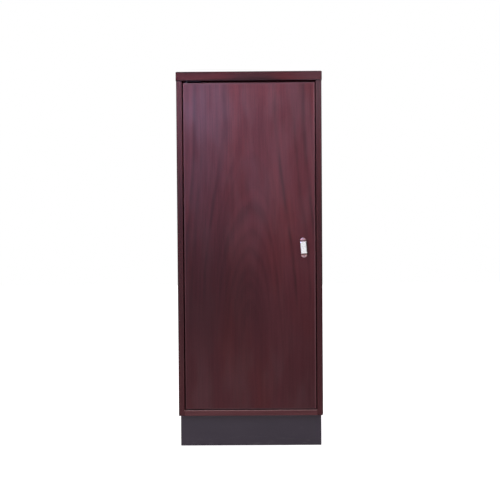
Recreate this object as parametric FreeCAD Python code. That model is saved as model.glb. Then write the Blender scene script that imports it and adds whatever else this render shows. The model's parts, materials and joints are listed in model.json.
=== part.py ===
import FreeCAD, Part
import math
import os

V = FreeCAD.Vector

# A tall cabinet with one door, of mahogany-veneered board with solid mahogany lippings,
# on a recessed dark plinth. The door hangs on pivot hinges let into its top and bottom
# edges, and a turn latch with a bow grip holds it shut.
# Millimetres. X runs to the right, the front faces -Y and Z is up. The origin is on the
# floor, in the middle of the whole cabinet's width and depth, the grip included.

# Carcass
carcass_width = 500.0
cabinet_height = 1300.0
carcass_depth = 417.0
top_thickness = 31.0
side_thickness = 20.0
bottom_thickness = 19.0
top_front_overhang = 3.0
top_side_overhang = 1.2
bottom_recess = 1.0
carcass_lipping = 5.0
top_corner_radius = 5.0
top_arris = 2.5
under_arris = 0.8
outer_arris = 3.5
inner_arris = 1.0
left_foot_rounding = 1.5
right_foot_rounding = 6.0
bottom_arris = 2.0

# Back panel and its rabbet
back_thickness = 5.0
back_rabbet = 8.0
back_edge_clearance = 0.5
back_screws_per_side = 6
back_screws_per_end = 3
back_screw_end_margin = 32.0
back_screw_row_margin = 60.0

# Plinth
plinth_height = 113.0
plinth_board = 16.0
plinth_front_recess = 40.0
plinth_side_recess = 3.6
plinth_back_recess = 15.0
plinth_arris = 1.5
corner_block = 32.0
corner_block_height = 30.0

# Shelves, with the heights of their undersides as shares of the inside height
shelf_thickness = 18.0
shelf_lipping = 5.0
shelf_side_gap = 1.5
shelf_back_gap = 3.0
shelf_setback = 26.0
shelf_arris = 0.8
shelf_height_shares = (0.25, 0.46, 0.73)
shelf_names = ("lower_shelf", "middle_shelf", "upper_shelf")
pin_diameter = 5.0
pin_depth = 9.5
pin_hole_depth = 10.5
pin_hole_pitch = 32.0
pin_holes_each_way = 2
pin_row_from_shelf_edge = 45.0
pin_spoon_length = 9.0
pin_spoon_width = 9.0
pin_spoon_thickness = 2.5

# Dowels between the sides and the top and bottom
dowel_diameter = 8.0
dowel_end_depth = 23.0
dowel_skin = 8.0
dowel_hole_spare = 0.5
dowel_depth_shares = (0.1, 0.38, 0.66, 0.94)

# Door and the gaps round it
door_thickness = 19.0
door_recess = 1.5
door_gap_hinge_side = 3.5
door_gap_latch_side = 3.0
door_gap_top = 6.5
door_gap_bottom = 2.5
door_lipping = 5.0
door_arris = 1.2

# Pivot hinges
pivot_from_door_edge = 12.0
pivot_behind_face = 7.0
leaf_length = 58.0
leaf_width = 10.0
leaf_thickness = 2.5
leaf_screw_shares = (0.42, 0.8)
pivot_pin_diameter = 5.0
pivot_pin_beyond_leaf = 4.0
pivot_pin_end_room = 1.0
pivot_pin_side_room = 0.6
pivot_washer_diameter = 10.0

# Door stop under the top
stop_depth = 12.0
stop_height = 16.0
stop_arris = 1.0
stop_from_leaf = 16.0
stop_from_side = 12.0
stop_pad_diameter = 7.0
stop_pad_thickness = 2.0
stop_pad_shares = (0.04, 0.96)
stop_screw_shares = (0.15, 0.5, 0.85)
stop_screw_bite = 14.0

# Turn latch
latch_from_door_edge = 42.0
latch_below_middle = 4.3
latch_lean_deg = 4.0
grip_length = 69.0
grip_width = 20.5
grip_rise = 18.0
grip_strap = 2.5
grip_foot = 8.0
grip_slope_run = 6.5
grip_bend = 2.0
grip_edge_round = 0.6
grip_round_end = 6.5
grip_pointed_end = 9.0
grip_point_bulge = 1.2
latch_base_thickness = 2.5
latch_base_round = 0.8
rivet_diameter = 3.0
rivet_head_diameter = 4.8
rivet_head_height = 1.3
rivet_head_round = 0.9
rivet_place_share = 0.52
journal_diameter = 8.0
spindle_tail_diameter = 6.0
spindle_square = 5.0
spindle_thread_diameter = 5.0
spindle_end_beyond_nut = 1.0
bush_diameter = 12.0
bush_flange_diameter = 17.0
bush_flange_thickness = 1.2
rosette_diameter = 34.0
rosette_thickness = 2.5
rosette_edge_round = 0.8
rosette_screw_share = 0.66
tongue_thickness = 3.0
tongue_reach = 38.0
tongue_width = 12.0
tongue_hub_diameter = 18.0
tongue_edge_round = 0.5
latch_washer_diameter = 12.0
latch_washer_thickness = 1.0
nut_across_flats = 8.0
nut_thickness = 4.0

# Keeper for the tongue, on the right side panel
keeper_height = 44.0
keeper_flange = 16.0
keeper_leg = 22.0
keeper_plate = 2.0
keeper_bend = 1.0
keeper_screw_height_share = 0.3
keeper_screw_depth_share = 0.62

# Screws
small_screw_diameter = 3.0
small_screw_head = 6.0
small_screw_head_height = 1.6
block_screw_diameter = 4.0
block_screw_head = 8.0
block_screw_head_height = 2.3
small_screw = (small_screw_diameter, small_screw_head, small_screw_head_height)
block_screw = (block_screw_diameter, block_screw_head, block_screw_head_height)
screw_tip_length = 4.0
screw_slot_width = 0.8
screw_slot_depth = 0.7
screw_skin = 3.0

# Clearances
running_clearance = 0.05
fixed_clearance = 0.03
screw_clearance = 0.1
dowel_clearance = 0.1
seat_gap = 0.3
tongue_gap = 0.5
keeper_gap = 0.4
overrun = 5.0
same_place = 0.001

# Places worked out from the sizes
grip_projection = bush_flange_thickness + seat_gap + latch_base_thickness + grip_rise
front_y = -(carcass_depth - grip_projection + door_recess) / 2
back_y = front_y + carcass_depth
top_front_y = front_y - top_front_overhang
body_half = carcass_width / 2
top_half = body_half + top_side_overhang
inner_half = body_half - side_thickness
top_under_z = cabinet_height - top_thickness
floor_z = plinth_height + bottom_thickness
inside_height = top_under_z - floor_z
back_front_y = back_y - back_thickness

door_left = -inner_half + door_gap_hinge_side
door_right = inner_half - door_gap_latch_side
door_bottom = floor_z + door_gap_bottom
door_top = top_under_z - door_gap_top
door_face = front_y + door_recess
door_back = door_face + door_thickness
door_height = door_top - door_bottom

pivot_x = door_left + pivot_from_door_edge
pivot_y = door_face + pivot_behind_face
pivot_pin_radius = pivot_pin_diameter / 2

latch_x = door_right - latch_from_door_edge
latch_z = door_bottom + door_height / 2 - latch_below_middle
base_back = door_face - bush_flange_thickness - seat_gap
base_front = base_back - latch_base_thickness
tongue_front = door_back + rosette_thickness + tongue_gap
tongue_back = tongue_front + tongue_thickness
washer_back = tongue_back + latch_washer_thickness
nut_back = washer_back + nut_thickness
spindle_end = nut_back + spindle_end_beyond_nut

shelf_front = door_back + shelf_setback
shelf_back = back_front_y - shelf_back_gap
shelf_half = inner_half - shelf_side_gap

RIGHT = V(1, 0, 0)
BACKWARD = V(0, 1, 0)
UP = V(0, 0, 1)

pieces = {}


def block(x0, x1, y0, y1, z0, z1):
    return Part.makeBox(x1 - x0, y1 - y0, z1 - z0, V(x0, y0, z0))


def rod(radius, start, end):
    axis = end - start
    return Part.makeCylinder(radius, axis.Length, start, axis)


def ring(outer_radius, inner_radius, start, end):
    return rod(outer_radius, start, end).cut(rod(inner_radius, start, end))


def edges_on(shape, x=None, y=None, z=None):
    """The edges of a shape whose ends all lie on the named planes."""
    found = []
    for edge in shape.Edges:
        ends = [vertex.Point for vertex in edge.Vertexes]
        fits_x = x is None or all(abs(point.x - x) < same_place for point in ends)
        fits_y = y is None or all(abs(point.y - y) < same_place for point in ends)
        fits_z = z is None or all(abs(point.z - z) < same_place for point in ends)
        if fits_x and fits_y and fits_z:
            found.append(edge)
    return found


def outline_with_round_corners(corners, radii):
    """A closed wire through flat corners, each rounded by its own radius (0 leaves it sharp)."""
    count = len(corners)
    arrivals = []
    departures = []
    for i, corner in enumerate(corners):
        towards_last = (corners[i - 1] - corner).normalize()
        towards_next = (corners[(i + 1) % count] - corner).normalize()
        half_angle = towards_last.getAngle(towards_next) / 2
        run = radii[i] / math.tan(half_angle)
        arrivals.append(corner + towards_last * run)
        departures.append(corner + towards_next * run)
    edges = []
    for i, corner in enumerate(corners):
        if radii[i] > 0:
            inward = ((arrivals[i] + departures[i]) / 2 - corner).normalize()
            centre_distance = math.hypot(radii[i], (arrivals[i] - corner).Length)
            crown = corner + inward * (centre_distance - radii[i])
            edges.append(Part.Arc(arrivals[i], crown, departures[i]).toShape())
        edges.append(Part.LineSegment(departures[i], arrivals[(i + 1) % count]).toShape())
    return Part.Wire(edges)


def prism(wire, travel):
    return Part.Face(wire).extrude(travel)


def rounded_in_plan(x0, x1, y0, y1, z0, z1, radii):
    """A block whose four upright edges are rounded, from the front left one round to the right."""
    corners = [V(x0, y0, z0), V(x1, y0, z0), V(x1, y1, z0), V(x0, y1, z0)]
    return prism(outline_with_round_corners(corners, radii), UP * (z1 - z0))


def rounded_in_front_view(x0, x1, y0, y1, z0, z1, radii):
    """A block whose four front-to-back edges are rounded, from the lower left one round."""
    corners = [V(x0, y0, z0), V(x1, y0, z0), V(x1, y0, z1), V(x0, y0, z1)]
    return prism(outline_with_round_corners(corners, radii), BACKWARD * (y1 - y0))


def cut_from(names, tool):
    for name in names:
        pieces[name] = pieces[name].cut(tool)


def group(solids):
    return Part.makeCompound(solids)


def driven(shape, head_place, direction):
    """Turn a shape that points down from the origin to point along direction from head_place."""
    turned = shape.copy()
    turned.Placement = FreeCAD.Placement(head_place, FreeCAD.Rotation(-UP, direction))
    return turned


def screw_form(kind, length, ease):
    """The outer form of a countersunk screw that points down, grown by ease for its hole."""
    diameter, head_diameter, head_height = kind
    radius = diameter / 2 + ease
    head = Part.makeCone(radius, head_diameter / 2 + ease, head_height, V(0, 0, -head_height))
    shank_length = length - screw_tip_length
    shank = Part.makeCylinder(radius, shank_length, V(0, 0, -shank_length))
    tip = Part.makeCone(0, radius, screw_tip_length, V(0, 0, -length))
    return head.fuse([shank, tip]).removeSplitter()


def screw(kind, length):
    """A countersunk wood screw with a straight slot across its head."""
    head_diameter = kind[1]
    half = screw_slot_width / 2
    slot = block(-head_diameter, head_diameter, -half, half, -screw_slot_depth, overrun)
    return screw_form(kind, length, 0).cut(slot)


def screw_hole(kind, length):
    """The screw's hole, a little longer than the screw, with a way in above its head."""
    head_radius = kind[1] / 2 + screw_clearance
    way_in = Part.makeCylinder(head_radius, screw_slot_depth)
    return screw_form(kind, length + screw_clearance, screw_clearance).fuse(way_in)


def drive_screws(node, kind, length, places, direction, through):
    """Put one node's screws in place and cut their holes in the pieces that they go through."""
    solid = screw(kind, length)
    hole = screw_hole(kind, length)
    pieces[node] = group([driven(solid, place, direction) for place in places])
    cut_from(through, group([driven(hole, place, direction) for place in places]))


def spread(start, end, count, margin):
    """Evenly spaced places from start to end, with a margin at each end."""
    step = (end - start - 2 * margin) / (count - 1)
    return [start + margin + step * i for i in range(count)]


def make_top():
    """Top: a veneered board with solid lippings on its front and its two ends."""
    radii = [top_corner_radius, top_corner_radius, 0, 0]
    slab = rounded_in_plan(-top_half, top_half, top_front_y, back_y,
                           top_under_z, cabinet_height, radii)
    slab = slab.makeFillet(top_arris, edges_on(slab, y=top_front_y, z=cabinet_height))
    slab = slab.makeFillet(under_arris, edges_on(slab, y=top_front_y, z=top_under_z))
    front_strip = block(-top_half, top_half, top_front_y, top_front_y + carcass_lipping,
                        top_under_z, cabinet_height)
    pieces["top_front_lipping"] = slab.common(front_strip)
    behind_strip = slab.cut(front_strip)
    left_strip = block(-top_half, -top_half + carcass_lipping, top_front_y, back_y,
                       top_under_z, cabinet_height)
    right_strip = block(top_half - carcass_lipping, top_half, top_front_y, back_y,
                        top_under_z, cabinet_height)
    pieces["top_left_lipping"] = behind_strip.common(left_strip)
    pieces["top_right_lipping"] = behind_strip.common(right_strip)
    pieces["top_panel"] = behind_strip.cut([left_strip, right_strip])


def make_side(name, outer, inner, foot_rounding):
    """Side: a veneered board with a solid lipping down its front edge."""
    x0 = min(outer, inner)
    x1 = max(outer, inner)
    on_left = outer < inner
    front_radii = [outer_arris, inner_arris, 0, 0] if on_left else [inner_arris, outer_arris, 0, 0]
    foot_radii = [foot_rounding, 0, 0, 0] if on_left else [0, foot_rounding, 0, 0]
    slab = rounded_in_plan(x0, x1, front_y, back_y, plinth_height, top_under_z, front_radii)
    slab = slab.common(rounded_in_front_view(x0, x1, front_y, back_y,
                                             plinth_height, top_under_z, foot_radii))
    strip = block(x0, x1, front_y, front_y + carcass_lipping, plinth_height, top_under_z)
    pieces[name + "_side_lipping"] = slab.common(strip)
    pieces[name + "_side_panel"] = slab.cut(strip)


def make_bottom():
    """Bottom: a veneered board between the sides, with a solid lipping on its front edge."""
    bottom_front = front_y + bottom_recess
    slab = block(-inner_half, inner_half, bottom_front, back_front_y, plinth_height, floor_z)
    slab = slab.makeFillet(bottom_arris, edges_on(slab, y=bottom_front, z=floor_z))
    slab = slab.makeFillet(under_arris, edges_on(slab, y=bottom_front, z=plinth_height))
    strip = block(-inner_half, inner_half, bottom_front, bottom_front + carcass_lipping,
                  plinth_height, floor_z)
    pieces["bottom_front_lipping"] = slab.common(strip)
    pieces["bottom_panel"] = slab.cut(strip)


def make_back():
    """Back: plywood in a rabbet round the carcass, held by screws from behind."""
    half = inner_half + back_rabbet
    rabbet = block(-half, half, back_front_y, back_y + overrun,
                   plinth_height - overrun, top_under_z + back_rabbet)
    cut_from(["left_side_panel", "right_side_panel", "top_panel"], rabbet)
    ease = back_edge_clearance
    back_top = top_under_z + back_rabbet - ease
    pieces["back_panel"] = block(-half + ease, half - ease, back_front_y, back_y,
                                 plinth_height + ease, back_top)
    screw_x = inner_half + back_rabbet / 2
    top_screw_z = top_under_z + back_rabbet / 2
    bottom_screw_z = plinth_height + bottom_thickness / 2
    places = []
    for z in spread(bottom_screw_z, top_screw_z, back_screws_per_side, back_screw_end_margin):
        places.append(V(-screw_x, back_y, z))
        places.append(V(screw_x, back_y, z))
    for x in spread(-inner_half, inner_half, back_screws_per_end, back_screw_row_margin):
        places.append(V(x, back_y, bottom_screw_z))
        places.append(V(x, back_y, top_screw_z))
    drive_screws("back_panel_screws", small_screw, side_thickness - screw_skin, places,
                 -BACKWARD, ["back_panel", "left_side_panel", "right_side_panel",
                             "top_panel", "bottom_panel"])


def make_dowels():
    """Dowels: four in each joint, standing in the side's top end or lying in the bottom's end."""
    radius = dowel_diameter / 2
    dowels = []
    holes = []
    for share in dowel_depth_shares:
        y = front_y + carcass_lipping + share * (back_front_y - front_y - carcass_lipping)
        for side in (-1, 1):
            x = side * (inner_half + side_thickness / 2)
            low = V(x, y, top_under_z - dowel_end_depth)
            high = V(x, y, cabinet_height - dowel_skin)
            dowels.append(rod(radius, low, high))
            holes.append(rod(radius + dowel_clearance, low - UP * dowel_hole_spare,
                             high + UP * dowel_hole_spare))
            z = plinth_height + bottom_thickness / 2
            outward = RIGHT * side
            inner_end = V(side * (inner_half - dowel_end_depth), y, z)
            outer_end = V(side * (body_half - dowel_skin), y, z)
            dowels.append(rod(radius, inner_end, outer_end))
            holes.append(rod(radius + dowel_clearance, inner_end - outward * dowel_hole_spare,
                             outer_end + outward * dowel_hole_spare))
    pieces["carcass_dowels"] = group(dowels)
    cut_from(["top_panel", "bottom_panel", "left_side_panel", "right_side_panel"], group(holes))


def make_plinth():
    """Plinth: four painted boards, with blocks in the corners that are screwed to the bottom."""
    half = body_half - plinth_side_recess
    front = front_y + plinth_front_recess
    back = back_y - plinth_back_recess
    front_radii = [plinth_arris, plinth_arris, 0, 0]
    pieces["plinth_front"] = rounded_in_plan(-half, half, front, front + plinth_board,
                                             0, plinth_height, front_radii)
    pieces["plinth_back"] = block(-half, half, back - plinth_board, back, 0, plinth_height)
    inner_front = front + plinth_board
    inner_back = back - plinth_board
    inner = half - plinth_board
    pieces["plinth_left"] = block(-half, -inner, inner_front, inner_back, 0, plinth_height)
    pieces["plinth_right"] = block(inner, half, inner_front, inner_back, 0, plinth_height)
    blocks = []
    places = []
    block_under = plinth_height - corner_block_height
    for x0 in (-inner, inner - corner_block):
        for y0 in (inner_front, inner_back - corner_block):
            blocks.append(block(x0, x0 + corner_block, y0, y0 + corner_block,
                                block_under, plinth_height))
            places.append(V(x0 + corner_block / 2, y0 + corner_block / 2, block_under))
    pieces["plinth_corner_blocks"] = group(blocks)
    length = corner_block_height + bottom_thickness - 2 * screw_skin
    drive_screws("plinth_screws", block_screw, length, places,
                 UP, ["plinth_corner_blocks", "bottom_panel"])


def shelf_pin(side, y, z):
    """A pin with a flat spoon: its shank goes outwards into the side, its spoon holds the shelf."""
    radius = pin_diameter / 2
    wall = V(side * inner_half, y, z)
    tip = V(side * (inner_half - pin_spoon_length), y, z)
    shank = rod(radius, wall, wall + RIGHT * side * pin_depth)
    half = pin_spoon_width / 2
    x0 = min(wall.x, tip.x)
    x1 = max(wall.x, tip.x)
    spoon = block(x0, x1, y - half, y + half, z + radius - pin_spoon_thickness, z + radius)
    return shank.fuse(spoon).removeSplitter()


def make_shelves():
    """Shelves: three lipped boards, each on four pins in rows of holes up the sides."""
    radius = pin_diameter / 2
    rows = (shelf_front + pin_row_from_shelf_edge, shelf_back - pin_row_from_shelf_edge)
    pins = []
    holes = []
    for name, share in zip(shelf_names, shelf_height_shares):
        under = floor_z + share * inside_height
        over = under + shelf_thickness
        slab = block(-shelf_half, shelf_half, shelf_front, shelf_back, under, over)
        slab = slab.makeFillet(shelf_arris, edges_on(slab, y=shelf_front, z=over)
                               + edges_on(slab, y=shelf_front, z=under))
        strip = block(-shelf_half, shelf_half, shelf_front, shelf_front + shelf_lipping, under, over)
        pieces[name + "_lipping"] = slab.common(strip)
        pieces[name] = slab.cut(strip)
        for side in (-1, 1):
            for y in rows:
                pins.append(shelf_pin(side, y, under - radius))
                for step in range(-pin_holes_each_way, pin_holes_each_way + 1):
                    mouth = V(side * inner_half, y, under - radius + step * pin_hole_pitch)
                    holes.append(rod(radius + running_clearance, mouth,
                                     mouth + RIGHT * side * pin_hole_depth))
    pieces["shelf_pins"] = group(pins)
    cut_from(["left_side_panel", "right_side_panel"], group(holes))


def make_door():
    """Door: a veneered board with solid lippings on all four edges."""
    slab = block(door_left, door_right, door_face, door_back, door_bottom, door_top)
    slab = slab.makeFillet(door_arris, edges_on(slab, y=door_face))
    left_strip = block(door_left, door_left + door_lipping, door_face, door_back,
                       door_bottom, door_top)
    right_strip = block(door_right - door_lipping, door_right, door_face, door_back,
                        door_bottom, door_top)
    low_strip = block(door_left, door_right, door_face, door_back,
                      door_bottom, door_bottom + door_lipping)
    high_strip = block(door_left, door_right, door_face, door_back,
                       door_top - door_lipping, door_top)
    pieces["door_hinge_lipping"] = slab.common(left_strip)
    pieces["door_latch_lipping"] = slab.common(right_strip)
    between = slab.cut([left_strip, right_strip])
    pieces["door_bottom_lipping"] = between.common(low_strip)
    pieces["door_top_lipping"] = between.common(high_strip)
    pieces["door_panel"] = between.cut([low_strip, high_strip])


def leaf(z, ease):
    """The round-ended form of one hinge leaf from z up, grown by ease all round for its pocket."""
    half = leaf_width / 2 + ease
    x0 = pivot_x - half
    x1 = pivot_x - leaf_width / 2 + leaf_length + ease
    return rounded_in_plan(x0, x1, pivot_y - half, pivot_y + half, z, z + leaf_thickness,
                           [half - same_place] * 4)


def leaf_screw_places(z):
    free_length = leaf_length - leaf_width / 2
    return [V(pivot_x + share * free_length, pivot_y, z) for share in leaf_screw_shares]


def make_pivots():
    """Pivot hinges: a plate with a fixed pin on the carcass and a leaf in each end of the door."""
    def at(z):
        return V(pivot_x, pivot_y, z)

    radius = pivot_pin_radius
    washer_radius = pivot_washer_diameter / 2
    plate_under_z = top_under_z - leaf_thickness
    bottom_plate_z = floor_z - leaf_thickness
    pieces["top_pivot_plate"] = leaf(plate_under_z, 0)
    pieces["bottom_pivot_plate"] = leaf(bottom_plate_z, 0)
    pieces["top_door_leaf"] = leaf(door_top - leaf_thickness, 0)
    pieces["bottom_door_leaf"] = leaf(door_bottom, 0)
    cut_from(["bottom_panel", "bottom_front_lipping"], leaf(bottom_plate_z, fixed_clearance))
    door_ends = ["door_panel", "door_hinge_lipping", "door_top_lipping", "door_bottom_lipping"]
    cut_from(door_ends, leaf(door_top - leaf_thickness, fixed_clearance))
    cut_from(door_ends, leaf(door_bottom, fixed_clearance))

    top_pin_tip = door_top - leaf_thickness - pivot_pin_beyond_leaf
    bottom_pin_tip = door_bottom + leaf_thickness + pivot_pin_beyond_leaf
    pieces["top_pivot_pin"] = rod(radius, at(top_pin_tip), at(top_under_z))
    pieces["bottom_pivot_pin"] = rod(radius, at(bottom_plate_z), at(bottom_pin_tip))
    fixed_bore = rod(radius + fixed_clearance, at(bottom_plate_z), at(top_under_z))
    running_bore = rod(radius + running_clearance, at(bottom_plate_z), at(top_under_z))
    cut_from(["top_pivot_plate", "bottom_pivot_plate"], fixed_bore)
    cut_from(["top_door_leaf", "bottom_door_leaf"], running_bore)
    room_radius = radius + pivot_pin_side_room
    cut_from(door_ends, rod(room_radius, at(top_pin_tip - pivot_pin_end_room), at(door_top)))
    cut_from(door_ends, rod(room_radius, at(door_bottom), at(bottom_pin_tip + pivot_pin_end_room)))

    pieces["top_pivot_washer"] = ring(washer_radius, radius + running_clearance,
                                      at(door_top + seat_gap), at(plate_under_z))
    pieces["bottom_pivot_washer"] = ring(washer_radius, radius + running_clearance,
                                         at(floor_z), at(door_bottom - seat_gap))

    length = bottom_thickness - screw_skin
    drive_screws("top_pivot_screws", small_screw, length, leaf_screw_places(plate_under_z), UP,
                 ["top_pivot_plate", "top_panel"])
    drive_screws("bottom_pivot_screws", small_screw, length, leaf_screw_places(floor_z), -UP,
                 ["bottom_pivot_plate", "bottom_panel"])
    drive_screws("door_top_leaf_screws", small_screw, length, leaf_screw_places(door_top), -UP,
                 ["top_door_leaf", "door_top_lipping", "door_panel"])
    drive_screws("door_bottom_leaf_screws", small_screw, length, leaf_screw_places(door_bottom), UP,
                 ["bottom_door_leaf", "door_bottom_lipping", "door_panel"])


def make_door_stop():
    """Door stop: a strip under the top, with two felt pads that the door closes against."""
    x0 = pivot_x + leaf_length - leaf_width / 2 + stop_from_leaf
    x1 = inner_half - stop_from_side
    pad_face = door_back + seat_gap
    y0 = pad_face + stop_pad_thickness
    z0 = top_under_z - stop_height
    strip = block(x0, x1, y0, y0 + stop_depth, z0, top_under_z)
    strip = strip.makeFillet(stop_arris, edges_on(strip, y=y0, z=z0)
                             + edges_on(strip, y=y0 + stop_depth, z=z0))
    pieces["door_stop_strip"] = strip
    pad_z = (z0 + door_top) / 2
    pads = []
    for share in stop_pad_shares:
        x = x0 + share * (x1 - x0)
        pads.append(rod(stop_pad_diameter / 2, V(x, pad_face, pad_z), V(x, y0, pad_z)))
    pieces["door_stop_pads"] = group(pads)
    places = [V(x0 + share * (x1 - x0), y0 + stop_depth / 2, z0) for share in stop_screw_shares]
    drive_screws("door_stop_screws", small_screw, stop_height + stop_screw_bite, places,
                 UP, ["door_stop_strip", "top_panel"])


def latch_point(x, y, z):
    """A point given from the latch's own axis, with the grip upright."""
    return V(latch_x + x, y, latch_z + z)


def leaning(shape):
    """Lean a latch piece as the grip stands at rest: its top a little to the left."""
    turned = shape.copy()
    turned.rotate(latch_point(0, 0, 0), BACKWARD, -latch_lean_deg)
    return turned


def grip_outline(y):
    """The grip's outline from the front: round at its lower end, slightly pointed at the top."""
    half = grip_width / 2
    top = grip_length / 2
    shoulder = top - grip_pointed_end
    hip = -top + grip_round_end
    tip = latch_point(0, y, top)
    right_shoulder = latch_point(half, y, shoulder)
    left_shoulder = latch_point(-half, y, shoulder)
    right_hip = latch_point(half, y, hip)
    left_hip = latch_point(-half, y, hip)
    slope = math.atan2(grip_pointed_end, half)
    bulge_x = half / 2 + grip_point_bulge * math.sin(slope)
    bulge_z = shoulder + grip_pointed_end / 2 + grip_point_bulge * math.cos(slope)
    return Part.Wire([
        Part.LineSegment(left_shoulder, left_hip).toShape(),
        Part.Arc(left_hip, latch_point(0, y, -top), right_hip).toShape(),
        Part.LineSegment(right_hip, right_shoulder).toShape(),
        Part.Arc(right_shoulder, latch_point(bulge_x, y, bulge_z), tip).toShape(),
        Part.Arc(tip, latch_point(-bulge_x, y, bulge_z), left_shoulder).toShape(),
    ])


def make_grip():
    """Grip: a strap bent to a bow, trimmed to the outline of the base that it is riveted to."""
    half = grip_width / 2
    end = grip_length / 2
    foot = end - grip_foot
    front = foot - grip_slope_run
    under = grip_rise - grip_strap
    slope = math.atan2(under, grip_slope_run)
    shift = grip_strap * math.tan(slope / 2)
    one_end = [(end, 0), (end, grip_strap), (foot, grip_strap), (front, grip_rise)]
    profile = one_end + [(-z, rise) for z, rise in reversed(one_end)]
    inside = [(foot - shift, 0), (front - shift, under)]
    profile += [(-z, rise) for z, rise in inside] + list(reversed(inside))
    corners = [latch_point(-half, base_front - rise, z) for z, rise in profile]
    bends = [0, 0, grip_bend, grip_bend, grip_bend, grip_bend, 0, 0] + [grip_bend] * 4
    strap = prism(outline_with_round_corners(corners, bends), RIGHT * grip_width)
    side_edges = edges_on(strap, x=latch_x - half) + edges_on(strap, x=latch_x + half)
    strap = strap.makeFillet(grip_edge_round, side_edges)
    trim = prism(grip_outline(base_front + overrun), -BACKWARD * (grip_rise + 2 * overrun))
    grip = strap.common(trim)

    base = prism(grip_outline(base_back), -BACKWARD * latch_base_thickness)
    base = base.makeFillet(latch_base_round, edges_on(base, y=base_front))

    foot_front = base_front - grip_strap
    rivets = []
    for side in (-1, 1):
        z = side * (end - rivet_place_share * grip_foot)
        head_top = latch_point(0, foot_front - rivet_head_height, z)
        head = rod(rivet_head_diameter / 2, latch_point(0, foot_front, z), head_top)
        head = head.makeFillet(rivet_head_round, edges_on(head, y=head_top.y))
        shank_start = latch_point(0, base_back, z)
        shank_end = latch_point(0, foot_front, z)
        hole = rod(rivet_diameter / 2 + fixed_clearance, shank_start, shank_end)
        grip = grip.cut(hole)
        base = base.cut(hole)
        rivets.append(head.fuse(rod(rivet_diameter / 2, shank_start, shank_end)))

    tail_hole = rod(spindle_tail_diameter / 2 + fixed_clearance,
                    latch_point(0, base_back, 0), latch_point(0, base_front, 0))
    pieces["latch_base"] = leaning(base.cut(tail_hole))
    pieces["latch_grip"] = leaning(grip)
    pieces["grip_rivets"] = leaning(group(rivets))


def make_spindle():
    """Spindle: riveted to the base, round in its bush, square in the tongue, with a nut behind."""
    def on_axis(y):
        return latch_point(0, y, 0)

    thread = spindle_thread_diameter / 2
    half = spindle_square / 2
    tail = rod(spindle_tail_diameter / 2, on_axis(base_front), on_axis(base_back))
    journal = rod(journal_diameter / 2, on_axis(base_back), on_axis(tongue_front))
    square = block(latch_x - half, latch_x + half, tongue_front, tongue_back,
                   latch_z - half, latch_z + half)
    stud = rod(thread, on_axis(tongue_back), on_axis(spindle_end))
    pieces["latch_spindle"] = leaning(tail.fuse([journal, square, stud]).removeSplitter())

    hub = rod(tongue_hub_diameter / 2, on_axis(tongue_front), on_axis(tongue_back))
    arm_half = tongue_width / 2
    arm_end = tongue_reach - arm_half
    arm = block(latch_x - arm_half, latch_x + arm_half, tongue_front, tongue_back,
                latch_z, latch_z + arm_end)
    nose = rod(arm_half, latch_point(0, tongue_front, arm_end), latch_point(0, tongue_back, arm_end))
    blade = hub.fuse([arm, nose]).removeSplitter()
    blade = blade.makeFillet(tongue_edge_round, edges_on(blade, y=tongue_back))
    eased = half + fixed_clearance
    square_hole = block(latch_x - eased, latch_x + eased, tongue_front, tongue_back,
                        latch_z - eased, latch_z + eased)
    pieces["latch_tongue"] = leaning(blade.cut(square_hole))

    pieces["latch_washer"] = ring(latch_washer_diameter / 2, thread + fixed_clearance,
                                  on_axis(tongue_back), on_axis(washer_back))
    corner_radius = nut_across_flats / 2 / math.cos(math.pi / 6)
    corners = []
    for i in range(6):
        angle = i * math.pi / 3
        corners.append(latch_point(corner_radius * math.cos(angle), washer_back,
                                   corner_radius * math.sin(angle)))
    nut = prism(outline_with_round_corners(corners, [0] * 6), BACKWARD * nut_thickness)
    thread_hole = rod(thread + fixed_clearance, on_axis(washer_back), on_axis(nut_back))
    pieces["latch_nut"] = leaning(nut.cut(thread_hole))


def make_latch_seat():
    """Bush through the door for the spindle, and a rosette screwed to the door's back."""
    def on_axis(y):
        return latch_point(0, y, 0)

    bore = journal_diameter / 2 + running_clearance
    flange_face = door_face - bush_flange_thickness
    sleeve = rod(bush_diameter / 2, on_axis(door_face), on_axis(door_back))
    flange = rod(bush_flange_diameter / 2, on_axis(flange_face), on_axis(door_face))
    bush = flange.fuse(sleeve).removeSplitter()
    pieces["latch_bush"] = bush.cut(rod(bore, on_axis(flange_face), on_axis(door_back)))
    cut_from(["door_panel"], rod(bush_diameter / 2 + fixed_clearance,
                                 on_axis(door_face), on_axis(door_back)))

    rosette_back = door_back + rosette_thickness
    rosette = rod(rosette_diameter / 2, on_axis(door_back), on_axis(rosette_back))
    rosette = rosette.makeFillet(rosette_edge_round, edges_on(rosette, y=rosette_back))
    pieces["latch_rosette"] = rosette.cut(rod(journal_diameter / 2 + seat_gap,
                                              on_axis(door_back), on_axis(rosette_back)))
    offset = rosette_screw_share * rosette_diameter / 2
    places = [latch_point(0, rosette_back, offset), latch_point(0, rosette_back, -offset)]
    drive_screws("rosette_screws", small_screw, door_thickness - screw_skin, places,
                 -BACKWARD, ["latch_rosette", "door_panel"])


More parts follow.
